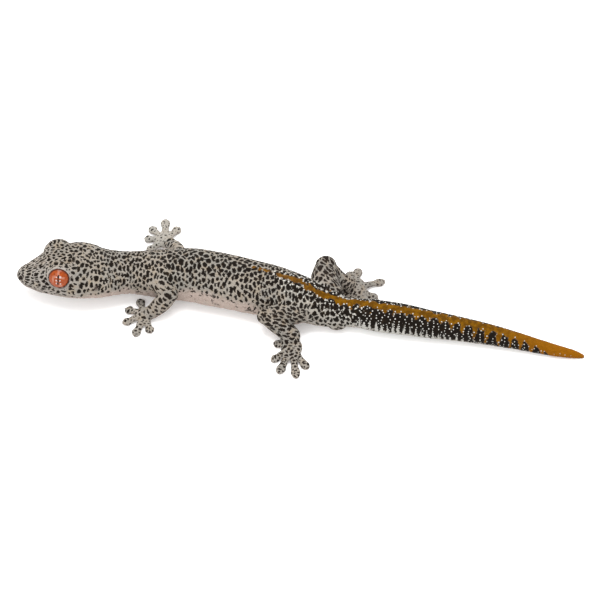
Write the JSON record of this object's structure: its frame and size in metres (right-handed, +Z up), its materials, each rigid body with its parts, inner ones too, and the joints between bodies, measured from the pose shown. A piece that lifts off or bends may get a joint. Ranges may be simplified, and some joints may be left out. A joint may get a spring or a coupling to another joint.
{
  "type": "golden-tailed gecko",
  "caption": "Life-size still gecko lying with its head raised and feet spread, black-spotted grey skin, orange eyes and a black and gold tail, for display.",
  "frame": {"origin": "centre of the bounding box in plan, on the plane of the belly and the toe pads", "axes": "+X towards the tail tip (the head points to -X), +Y towards the animal's right side, +Z up from the floor"},
  "size_m": [0.1181, 0.0433, 0.0111],
  "materials": {
    "spotted_skin": "matt granular skin, black spots on pinkish grey",
    "black_gold_skin": "black granular skin with white tubercles and a golden stripe",
    "gold_skin": "golden brown granular skin, slightly satin",
    "orange_eye": "wet and glossy, orange red with a vertical pupil"
  },
  "bodies": {
    "root": {"belly": "spotted_skin", "chest": "spotted_skin", "eye_left": "orange_eye", "eye_right": "orange_eye", "foot_left": "spotted_skin", "foot_right": "spotted_skin", "forearm_left": "spotted_skin", "forearm_right": "spotted_skin", "hand_left": "spotted_skin", "hand_right": "spotted_skin", "head": "spotted_skin", "neck": "spotted_skin", "shin_left": "spotted_skin", "shin_right": "spotted_skin", "tail_base": "black_gold_skin", "tail_middle": "black_gold_skin", "tail_tip": "gold_skin", "thigh_left": "spotted_skin", "thigh_right": "spotted_skin", "upper_arm_left": "spotted_skin", "upper_arm_right": "spotted_skin"}
  },
  "joints": []
}
